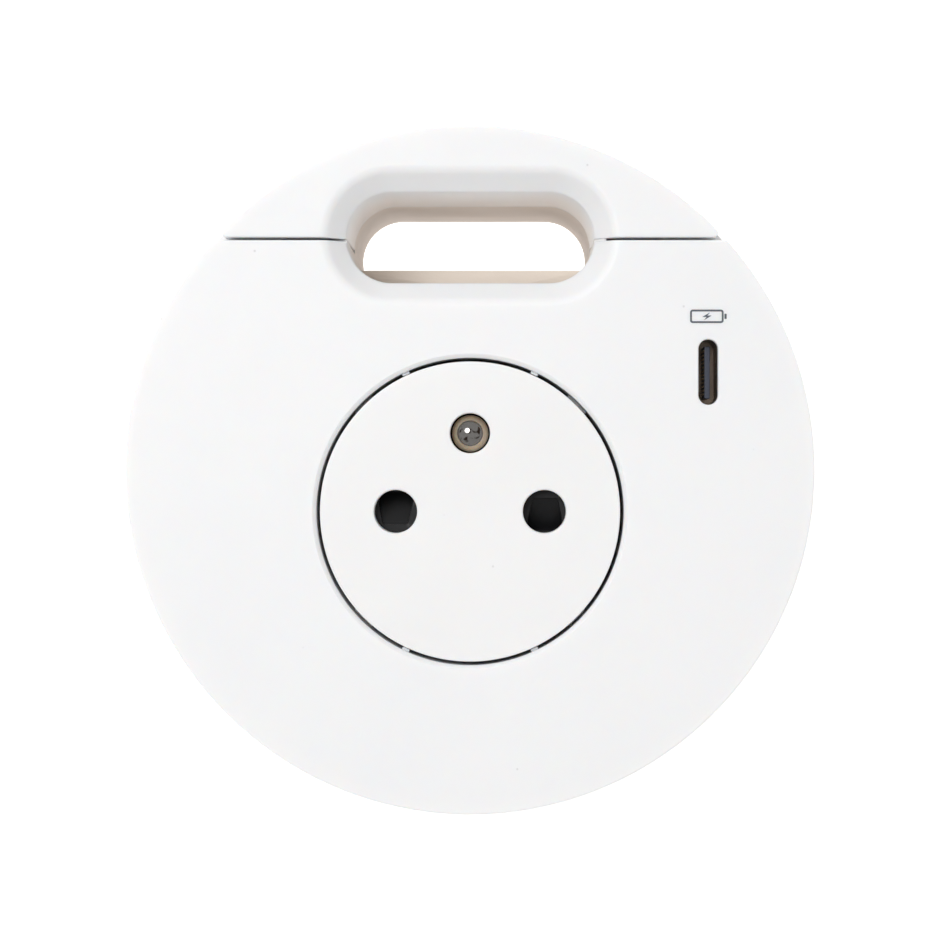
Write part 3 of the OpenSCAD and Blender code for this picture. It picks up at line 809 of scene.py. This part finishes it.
def port_pieces():
    out = []
    # drawn shell, with a rolled lip; its dark brownish nickel is painted shade from deep in the port
    s = Shape()
    prof = round_profile([(1.28, -3.3), (1.58, -3.3), (1.58, 3.4), (1.28, 3.4)], [0, 0, 0.12, 0.14], 4)
    rows = []
    for r, z in prof:
        rows.append(s.add([(x, y, z) for x, y in stadium(PORT, 2.89, r, 6, upright=True)]))
    s.rows(rows + [rows[0]])
    back = prism(stadium(PORT, 2.89, 1.45, 6, upright=True), -3.8, -3.2, 0.1, 0.0)
    merge(s, back)
    out.append((s.make("port_shell", mats=[DRAWN_PAINTED_SHADE]), "usb_shell"))
    # tongue with its contacts on both sides
    s = Shape()
    t = prism(rounded_box(PORT[0] - 0.35, PORT[0] + 0.35, PORT[1] - 3.35, PORT[1] + 3.35, 0.12), -3.3, 2.8, 0.0, 0.08)
    merge(s, t)
    s.slot = 1
    for side in (-1, 1):
        for k in range(12):
            y = PORT[1] - 2.75 + 0.5 * k
            x0 = PORT[0] + side * 0.35
            p = prism(rounded_box(x0 - 0.012, x0 + 0.012, y - 0.12, y + 0.12, 0.006, 45), -3.0, 2.0)
            p.mat = [1] * len(p.f)
            merge(s, p)
    out.append((s.make("port_tongue", mats=[SLATE, GOLD]), "usb_tongue"))
    return out


def printed_mark():
    """A small battery with a spark, printed above the port."""
    s = Shape()
    x, y, z0, z1 = PORT[0], 19.6, FACE - 0.004, FACE + 0.004

    def thin(poly):
        a = s.add([(u + x, v + y, z1) for u, v in poly])
        b = s.add([(u + x, v + y, z0) for u, v in poly])
        s.band(a, b)
        s.cap([a])
        s.cap([b])

    def ring(o, i):
        a, b = s.add([(u + x, v + y, z1) for u, v in o]), s.add([(u + x, v + y, z1) for u, v in i])
        c, d = s.add([(u + x, v + y, z0) for u, v in o]), s.add([(u + x, v + y, z0) for u, v in i])
        s.band(a, c)
        s.band(b, d)
        s.cap([a, b])
        s.cap([c, d])

    ring(rounded_box(-2.33, 1.95, -0.86, 0.86, 0.34), rounded_box(-2.09, 1.71, -0.62, 0.62, 0.12))
    thin(rounded_box(2.06, 2.34, -0.34, 0.34, 0.1))
    thin([(0.22, 0.5), (-0.78, -0.08), (-0.22, -0.08), (-0.56, -0.5), (0.42, 0.1), (-0.12, 0.1)])
    o = s.make("printed_mark", mats=[INK])
    return o


def face_springs():
    """Three compression springs with closed end turns."""
    s = Shape()
    r, wire, turns, n, per = 2.1, 0.28, 7, 10, 36
    z0, z1 = BASE - 6 + wire, -2.6 - wire

    def height(t):
        # the first and last turn lie almost flat
        low = 0.62
        if t < 1:
            return z0 + low * t
        if t > turns - 1:
            return z1 - low * (turns - t)
        return z0 + low + (z1 - z0 - 2 * low) * (t - 1) / (turns - 2)

    for x, y in ((0, -12.5), (-11, 9.5), (11, 9.5)):
        rows = []
        for i in range(turns * per + 1):
            a = 2 * math.pi * i / per
            ca, sa = math.cos(a), math.sin(a)
            rows.append(s.add([(x + (r + wire * math.cos(b)) * ca, SOCKET[1] + y + (r + wire * math.cos(b)) * sa, height(i / per) + wire * math.sin(b))
                               for b in (2 * math.pi * k / n for k in range(n))]))
        s.rows(rows)
        s.face(rows[0])
        s.face(rows[-1])
    return s.make("face_spring_set", sharp=60, mats=[SPRING])


# ------------------------------------------------------------------ body, nut, rear
def thread_wave(phi):
    t = 0.5 + 0.9 * (1 - 4 * abs((phi % 1.0) - 0.5))
    return min(1.0, max(0.0, t))


def body_shell():
    pitch, n = 3.0, 240

    def thread(z):
        fade = min(1, max(0, (-7.0 - z) / 1.2)) * min(1, max(0, (z + 36.0) / 1.2))
        return lambda a: 38.5 + 0.78 * fade * thread_wave(z / pitch - a / (2 * math.pi))

    ring = round_profile([(43.98, 0), (43.98, 1.5)], [0.3, 0.12], 4)
    prof = [(30.0, 1.5)]
    prof = [(30.0, 1.5), (43.86, 1.5)] + [(43.98 - 0.12 + 0.12 * math.sin(a), 1.5 - 0.12 + 0.12 * math.cos(a)) for a in np.linspace(0.3, math.pi / 2, 4)]
    prof += [(43.98, 0.3)] + [(43.68 + 0.3 * math.cos(a), 0.3 - 0.3 * math.sin(a)) for a in np.linspace(0.2, math.pi / 2, 5)]
    prof += [(43.3, 0.0), (43.3, 0.6), (41.0, 0.6), (41.0, 0.0), (40.1, 0.0), (39.85, -0.08), (39.66, -0.3), (39.6, -0.6), (39.6, -6.4), (39.3, -6.9), (38.5, -7.0)]
    zs = list(np.arange(-7.15, -36.0, -0.2)) + [-36.0]
    prof += [(thread(z), float(z)) for z in zs]
    prof += [(38.4, -36.1), (38.4, -40.2)] + [(37.6 + 0.8 * math.cos(a), -40.2 - 0.8 * math.sin(a)) for a in np.linspace(0.2, math.pi / 2, 6)]
    prof += [(30.0, REAR)]
    s = revolve(prof, n)
    # the outer skin is closed with a thick drum inside, which the cuts below hollow out
    s2 = Shape()
    s2.v, s2.f, s2.mat = s.v, s.f[:-n], s.mat[:-n]
    top, bot = list(range(0, n)), list(range(len(s.v) - n, len(s.v)))
    s2.cap([top])
    s2.cap([bot])
    o = s2.make("body_moulding", mats=[BODY, SLOT_M])
    o.modifiers.clear()

    def bay(ro, w, z0, z1, name):
        y0 = 29.7 - w
        rr = SLOT_R + w
        dx = math.sqrt(rr ** 2 - (y0 - SLOT_Y) ** 2)
        a1 = math.degrees(math.atan2(y0 - SLOT_Y, dx))
        xo = math.sqrt(ro ** 2 - y0 ** 2)
        ao = math.degrees(math.atan2(y0, xo))
        loop = arc((0, 0), ro, 180 - ao, 360 + ao, 2) + [(xo, y0)]
        loop += arc((SLOT_C, SLOT_Y), rr, a1, -90, 5) + line((SLOT_C, SLOT_Y - rr), (-SLOT_C, SLOT_Y - rr), 3)
        loop += arc((-SLOT_C, SLOT_Y), rr, -90, -180 - a1, 5) + [(-SLOT_C - dx, y0)]
        return prism(loop, z0, z1).make(name)

    cuts = [bay(36.8, 1.8, LID - 0.01, 3, "c1"), bay(37.6, 0.9, REAR - 1, LID, "c2")]
    # the cable slot, with a ledge along its lower side where it gets narrower
    dx = math.sqrt(SLOT_R ** 2 - (27.1 - SLOT_Y) ** 2)
    a1 = math.degrees(math.atan2(27.1 - SLOT_Y, dx))
    upper = arc((SLOT_C, SLOT_Y), SLOT_R, a1, 90, 3) + line((SLOT_C, SLOT_Y + SLOT_R), (-SLOT_C, SLOT_Y + SLOT_R), 2)
    upper += arc((-SLOT_C, SLOT_Y), SLOT_R, 90, 180 - a1, 3) + [(-SLOT_C - dx, 27.1)]
    lower = arc((-SLOT_C, SLOT_Y), SLOT_R, 180 - a1, 270, 3)[1:] + line((-SLOT_C, SLOT_Y - SLOT_R), (SLOT_C, SLOT_Y - SLOT_R), 2)
    lower += arc((SLOT_C, SLOT_Y), SLOT_R, -90, a1, 3)
    t = Shape()
    low = t.add([(x, y, BASE) for x, y in upper + lower])
    top = t.at(low, 3.0)
    end = t.at(low[:len(upper)], REAR - 1)
    t.band(top, low)
    t.band(low[:len(upper)], end)
    t.cap([low[len(upper) - 1:] + low[:1]])
    t.cap([top])
    t.cap([end])
    t.mat = [1] * len(t.f)
    cuts.append(t.make("c3", mats=[BODY, SLOT_M]))
    xk = math.sqrt(38.42 ** 2 - LIP ** 2)
    ak = math.degrees(math.atan2(LIP, xk))
    edge = [(-xk, LIP)]
    for x0, x1 in ((-23.55, -21.95), (-19.45, -17.85), (17.85, 19.45), (21.95, 23.55)):
        edge += [(x0, LIP), (x0, 29.1), (x1, 29.1), (x1, LIP)]
    cuts.append(prism(arc((0, 0), 38.42, ak, 180 - ak, 1.5) + edge, BASE, 3).make("c5"))
    cuts.append(prism([(60, SEAM_LO), (60, 80), (-60, 80), (-60, SEAM_LO)], BASE - 0.02, -7.06).make("c6"))
    cuts.append(prism([(-2.6, -45), (2.6, -45), (2.6, -38.1), (-2.6, -38.1)], -35.94, -7.06).make("c7"))
    cut(o, cuts)
    tidy(o)
    # bosses inside, as separate closed rings moulded to the wall
    s = Shape()
    for x, y, r0, r1, z0, z1 in [(x, y, 1.4, 3.2, -7, -4.5) for x, y in ((-12, -32), (12, -32), (-33.5, 7), (33.5, -7))] + \
            [(x, y, 1.25, 3.2, LID, -26) for x, y in ((-26.5, -22.5), (26.5, -22.5), (-27, 21.5), (27, 21.5))]:
        t = revolve([(r0, z0), (r1, z0), (r1, z1), (r0, z1)], 40)
        t.shift(x=x, y=y)
        merge(s, t)
    # a small tongue that fills the seam beside the slot
    t = Shape()
    prof = round_profile([(16.02, 1.0), (17.5, 1.0), (17.5, 3.4), (16.02, 1.75)], [0, 0, 0.15, 0.15], 3)
    ids = [t.add([(x, y, z) for x, z in prof]) for y in (SEAM_LO + 0.03, SEAM_HI - 0.03)]
    t.band(*ids)
    t.face(ids[0])
    t.face(ids[1])
    merge(s, t)
    b = s.make("body_bosses", mats=[BODY])
    return o, b


def ring_nut():
    n = 720
    pitch = 3.0

    def lug(a):
        k = (math.degrees(a) % 30)
        k = min(abs(k), abs(30 - k))
        return min(1.0, max(0.0, (4.9 - k) / 1.7))

    def smooth(t):
        return t * t * (3 - 2 * t)

    def outer(dr):
        return lambda a: 44.1 + 2.0 * smooth(lug(a)) - dr

    def bore(z):
        fade = min(1, max(0, (z + 28.6) / 1.0)) * min(1, max(0, (-20.6 - z) / 1.0))
        return lambda a: 39.47 - 0.68 * fade * thread_wave(z / pitch - a / (2 * math.pi) + 0.5)

    rows = [(40.1, -29.0), (41.2, -29.0)]
    rows += [(outer(0.6 * (1 - math.sin(t))), -29.0 + 0.6 * (1 - math.cos(t))) for t in np.linspace(0, math.pi / 2, 6)]
    rows += [(outer(0), -22.9)]
    rows += [(lambda a, t=t: outer(0)(a) + (46.02 - outer(0)(a)) * t, -22.9 + 0.5 * (1 - math.sqrt(max(0, 1 - t * t)))) for t in (0.25, 0.5, 0.75, 0.92, 1.0)]
    rows += [(46.3 - 0.28 * (1 - math.sin(t)), -22.4 + 0.28 * (1 - math.cos(t))) for t in np.linspace(0.2, math.pi / 2, 4)]
    rows += [(46.3, -20.34)] + [(46.0 + 0.3 * math.cos(t), -20.34 + 0.3 * math.sin(t)) for t in np.linspace(0.3, math.pi / 2, 4)]
    rows += [(40.2, -20.04), (39.7, -20.3)]
    rows += [(bore(z), float(z)) for z in np.arange(-20.5, -28.75, -0.22)]
    rows += [(39.55, -28.8)]
    s = revolve(rows, n)
    return s.make("ring_nut_moulding", mats=[NUT_M])


def clamp_washer():
    n = 720

    def inner(r):
        def f(a):
            d = math.degrees(a) % 360 - 270
            w = abs(math.radians(d)) * 38.6
            t = min(1, max(0, (2.45 - w) / 0.3))
            return r + (38.55 - r) * t
        return f

    rows = [(inner(39.85), -19.85), (lambda a: inner(39.85)(a) + 0.12, -19.97), (lambda a: inner(39.85)(a) + 0.3, -20.0)]
    rows += [(46.0, -20.0), (46.22, -19.92), (46.3, -19.7), (46.3, -19.1), (46.22, -18.88), (46.0, -18.8)]
    rows += [(lambda a: inner(39.85)(a) + 0.3, -18.8), (lambda a: inner(39.85)(a) + 0.12, -18.83), (inner(39.85), -18.95)]
    return revolve(rows, n).make("washer_pressing", mats=[WASHER_M])


def grip_pad():
    # a flat ring with three low sealing ribs pressed into its upper face
    top = []
    for r in np.linspace(45.5, 40.3, 79):
        w = max(0.0, math.cos(2 * math.pi * (r - 40.3) / 1.3))
        top.append((float(r), -18.0 - 0.22 * (1 - w)))
    rows = [(39.85, -18.25), (39.85, -18.7), (39.95, -18.8), (45.8, -18.8), (45.9, -18.7), (45.9, -18.35), (45.75, -18.2)] + top + [(40.0, -18.15)]
    return revolve(rows, 240).make("pad_ring", mats=[RUBBER])


def flange_gasket():
    prof = round_profile([(41.1, 0.6), (41.1, 0.0), (43.2, 0.0), (43.2, 0.6)], [0, 0.25, 0.25, 0], 4)
    return revolve(prof, 200).make("gasket_ring", mats=[RUBBER])


def rear_cover():
    s = Shape()
    w, ro = 1.0, 37.5
    y0 = 29.7 - w
    rr = SLOT_R + w
    dx = math.sqrt(rr ** 2 - (y0 - SLOT_Y) ** 2)
    a1 = math.degrees(math.atan2(y0 - SLOT_Y, dx))
    xo = math.sqrt(ro ** 2 - y0 ** 2)
    ao = math.degrees(math.atan2(y0, xo))
    loop = arc((0, 0), ro, 180 - ao, 360 + ao, 1.5) + line((xo, y0), (SLOT_C + dx, y0), 1.0)
    loop += arc((SLOT_C, SLOT_Y), rr, a1, -90, 4) + line((SLOT_C, SLOT_Y - rr), (-SLOT_C, SLOT_Y - rr), 1.5)
    loop += arc((-SLOT_C, SLOT_Y), rr, -90, -180 - a1, 4) + line((-SLOT_C - dx, y0), (-xo, y0), 1.0)
    low_w, low_i = s.edge(loop, 0.06, REAR, seg=3, up=-1)
    up = s.drop(low_w, LID)
    lows, ups = [low_i], [up]
    for x, y in ((-26.5, -22.5), (26.5, -22.5), (-27, 21.5), (27, 21.5)):
        cw, ci = s.edge(circle((x, y), 2.5, 56, hole=True), 0.06, REAR, seg=3, up=-1)
        lows.append(ci)
        step = s.drop(cw, REAR + 1.3)
        h = s.add([(u, v, REAR + 1.3) for u, v in circle((x, y), 1.4, 40, hole=True)])
        s.cap([step, h])
        ups.append(s.drop(h, LID))
    inlet = rounded_box(-34.4, -23.0, -12.4, 12.4, 0.4)[::-1]
    cw, ci = s.edge(inlet, 0.15, REAR, seg=3, up=-1)
    lows.append(ci)
    ups.append(s.drop(cw, LID))
    panel = rounded_box(2, 22, -14, 14, 1.2)
    cw, ci = s.edge(panel[::-1], 0.12, REAR, seg=3, up=-1)
    lows.append(ci)
    s.cap([s.drop(cw, REAR + 0.3)])
    s.cap(lows)
    s.cap(ups)
    return s.make("rear_panel", mats=[REAR_M])


def inlet():
    s = Shape()
    out = rounded_box(-34.3, -23.1, -12.3, 12.3, 0.35)
    low_w, low_i = s.edge(out, 0.15, REAR, seg=3, up=-1)
    top = s.drop(low_w, -22.5, 2)
    # the recess has two chamfered corners, as an appliance inlet does
    rec = round_profile([(-32.9, -10.9), (-26.4, -10.9), (-24.5, -9.0), (-24.5, 9.0), (-26.4, 10.9), (-32.9, 10.9)], 0.5, 4)
    rw, ri = s.edge(rec[::-1], 0.5, REAR, seg=4, up=-1)
    floor = s.drop(rw, -26.5, 2)
    holes = []
    for y in (-7, 0, 7):
        a = s.add([(u, v, -26.5) for u, v in circle((-28.7, y), 1.1, 32)])
        b = s.drop(a, -22.5)
        holes.append((a, b))
    s.cap([low_i, ri])
    s.cap([floor] + [h[0] for h in holes])
    s.cap([top] + [h[1] for h in holes])
    house = s.make("inlet_moulding", mats=[BLACK])
    s = Shape()
    for y in (-7, 0, 7):
        prof = [(0, REAR + 5)] + [(1.1 * math.sin(a), REAR + 5 + 0.9 * (1 - math.cos(a))) for a in np.linspace(0.15, math.pi / 2, 8)] + [(1.1, -20.2), (0.9, -20.0), (0, -20.0)]
        merge(s, lathe(prof, 40, (-28.7, y)))
    pins = s.make("inlet_pin_set", mats=[CHROME])
    return house, pins


def rear_screws():
    made = Shape()
    for x, y in ((-26.5, -22.5), (26.5, -22.5), (-27, 21.5), (27, 21.5)):
        z = REAR + 1.3
        prof = [(0, z - 1.2), (1.2, z - 1.19)] + [(2.0 + 0.43 * math.sin(a), z - 1.14 + 0.55 * (1 - math.cos(a))) for a in np.linspace(0, math.pi / 2, 7)]
        prof += [(2.43, z - 0.1), (2.37, z), (1.2, z)]
        k = 0
        zz = z
        while zz < z + 9.2:
            prof += [(1.17, zz + 0.25), (0.95, zz + 0.5), (0.95, zz + 0.65), (1.17, zz + 0.9)]
            zz += 0.9
        prof += [(0.4, z + 9.9), (0, z + 10)]
        t = lathe(prof, 40, (x, y))
        o = t.make("t")
        o.modifiers.clear()
        star = []
        for q in range(4):
            a = q * 90 + 20
            for u, v in ((1.35, -0.27), (1.35, 0.27), (0.3, 0.3)):
                ca, sa = math.cos(math.radians(a)), math.sin(math.radians(a))
                star.append((x + u * ca - v * sa, y + u * sa + v * ca))
        cut(o, [prism(star, z - 2, z - 0.45).make("c")])
        k = len(made.v)
        made.v += [tuple(c / MM for c in v.co) for v in o.data.vertices]
        made.f += [[i + k for i in p.vertices] for p in o.data.polygons]
        made.mat += [0] * len(o.data.polygons)
        d = o.data
        bpy.data.objects.remove(o)
        bpy.data.meshes.remove(d)
    return made.make("rear_screw_set", sharp=32, mats=[STEEL])


# ------------------------------------------------------------------ build it
def place(o, body, nodes):
    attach(o, body)
    if nodes:
        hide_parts(*nodes)


place(front_plate(), "body", ["front_plate"])
place(cable_cover(), "cover", ["cable_cover"])
place(socket_face(), "push_face", ["socket_face"])
springs = face_springs()
place(springs, "body", ["face_springs"])
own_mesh(springs)
place(shutter(), "shutter", ["shutter"])
place(earth_pin(), "body", ["earth_pin"])
for o, nd in port_pieces():
    place(o, "body", [nd])
place(printed_mark(), "body", [])
shell, bosses = body_shell()
place(shell, "body", ["body_shell"])
place(bosses, "body", [])
place(ring_nut(), "nut", ["ring_nut"])
place(clamp_washer(), "clamp", ["clamp_washer"])
place(grip_pad(), "clamp", ["grip_pad"])
place(flange_gasket(), "body", ["flange_gasket"])
place(rear_cover(), "body", ["rear_cover"])
house, pins = inlet()
place(house, "body", ["inlet_housing"])
place(pins, "body", ["inlet_pins"])
place(rear_screws(), "body", ["rear_cover_screws"])

looks = {
    "shutter_spring": SPRING, "shutter_retainer": BLACK, "shutter_screws": STEEL, "face_springs": SPRING,
    "socket_base": BLACK, "live_contact": BRASS, "neutral_contact": BRASS, "earth_plate": BRASS,
    "usb_board": BOARD, "charger_board": BOARD, "transformer": FERRITE, "capacitors": SLEEVE, "charger_chips": EPOXY,
    "live_wire": WIRE_L, "neutral_wire": WIRE_N, "earth_wire": WIRE_E, "charger_wires": WIRE_D,
    "front_plate_screws": STEEL, "base_screws": STEEL,
}
for name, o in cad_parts.items():
    m = looks.get(name, STEEL)
    o.data.materials.clear()
    o.data.materials.append(m)

# ------------------------------------------------------------------ camera, floor and light
D = 350.0
cam = bpy.data.cameras.new("camera")
cam.sensor_width = 36.0
cam.lens = 36.0 * D / 119.9
cam.clip_start = 0.01
cam.clip_end = 200
co = bpy.data.objects.new("camera", cam)
bpy.context.scene.collection.objects.link(co)
SIDE = 4.4
co.location = (SIDE * MM, 0, (FACE + D) * MM)
cam.shift_x = -SIDE / 119.9
bpy.context.scene.camera = co


def floor_material():
    m, nt, b = new_material("floor_white")
    L = nt.links.new
    tc = node(nt, "TexCoord").outputs["Object"]
    n = node(nt, "TexNoise", Scale=30.0, Detail=3.0)
    L(tc, n.inputs["Vector"])
    r = ramp(nt, n.outputs["Fac"], [(0.3, grey(0.66)), (0.7, grey(0.68))])
    L(r.outputs["Color"], b.inputs["Base Color"])
    b.inputs["Roughness"].default_value = 0.8
    b.inputs["Specular IOR Level"].default_value = 0.1
    # the pale table glows faintly, and more where the cable slot looks down on it
    sep = node(nt, "SeparateXYZ")
    L(tc, sep.inputs[0])
    dist = []
    for axis, centre, half in (("X", 0.0, 0.021), ("Y", 0.0310, 0.0075)):
        sub = node(nt, "Math", operation="SUBTRACT")
        L(sep.outputs[axis], sub.inputs[0])
        sub.inputs[1].default_value = centre
        ab = node(nt, "Math", operation="ABSOLUTE")
        L(sub.outputs[0], ab.inputs[0])
        gt = node(nt, "Math", operation="LESS_THAN")
        L(ab.outputs[0], gt.inputs[0])
        gt.inputs[1].default_value = half
        dist.append(gt.outputs[0])
    mul = node(nt, "Math", operation="MULTIPLY")
    L(dist[0], mul.inputs[0])
    L(dist[1], mul.inputs[1])
    gl = node(nt, "Math", operation="MULTIPLY_ADD")
    L(mul.outputs[0], gl.inputs[0])
    gl.inputs[1].default_value = 0.4
    gl.inputs[2].default_value = 0.72
    b.inputs["Emission Color"].default_value = (1, 1, 1, 1)
    L(gl.outputs[0], b.inputs["Emission Strength"])
    return m


def floor():
    me = bpy.data.meshes.new("floor")
    k = 60.0
    me.from_pydata([(-k, -k, 0), (k, -k, 0), (k, k, 0), (-k, k, 0)], [], [(0, 1, 2, 3)])
    me.materials.append(floor_material())
    o = bpy.data.objects.new("floor", me)
    bpy.context.scene.collection.objects.link(o)
    o.location = (0, 0, REAR * MM - 0.0002)


floor()


def area(name, at, aim, size, power, color=(1, 1, 1)):
    l = bpy.data.lights.new(name, "AREA")
    l.shape = "DISK"
    l.size = size
    l.energy = power
    l.color = color
    o = bpy.data.objects.new(name, l)
    bpy.context.scene.collection.objects.link(o)
    o.location = at
    d = Vector(aim) - Vector(at)
    o.rotation_euler = d.to_track_quat("-Z", "Y").to_euler()
    return o


KEY, SKY = 7.3, 0.69
area("key", (-0.35, 0.35, 1.18), (0, 0, 0), 0.6, KEY)


def studio():
    """A white tent with a few darker openings, which the plated parts mirror."""
    w = bpy.data.worlds.new("studio")
    bpy.context.scene.world = w
    w.use_nodes = True
    nt = w.node_tree
    bg = nt.nodes["Background"]
    co = node(nt, "TexCoord").outputs["Generated"]
    n = node(nt, "TexNoise", Scale=1.7, Detail=1.0, Distortion=0.6)
    nt.links.new(co, n.inputs["Vector"])
    r = ramp(nt, n.outputs["Fac"], [(0.36, (0.13, 0.09, 0.065)), (0.43, (1, 1, 1)), (1.0, (1, 1, 1))])
    nt.links.new(r.outputs["Color"], bg.inputs[0])
    bg.inputs[1].default_value = SKY


studio()

scene = bpy.context.scene
scene.view_settings.view_transform = "Standard"
scene.view_settings.look = "None"
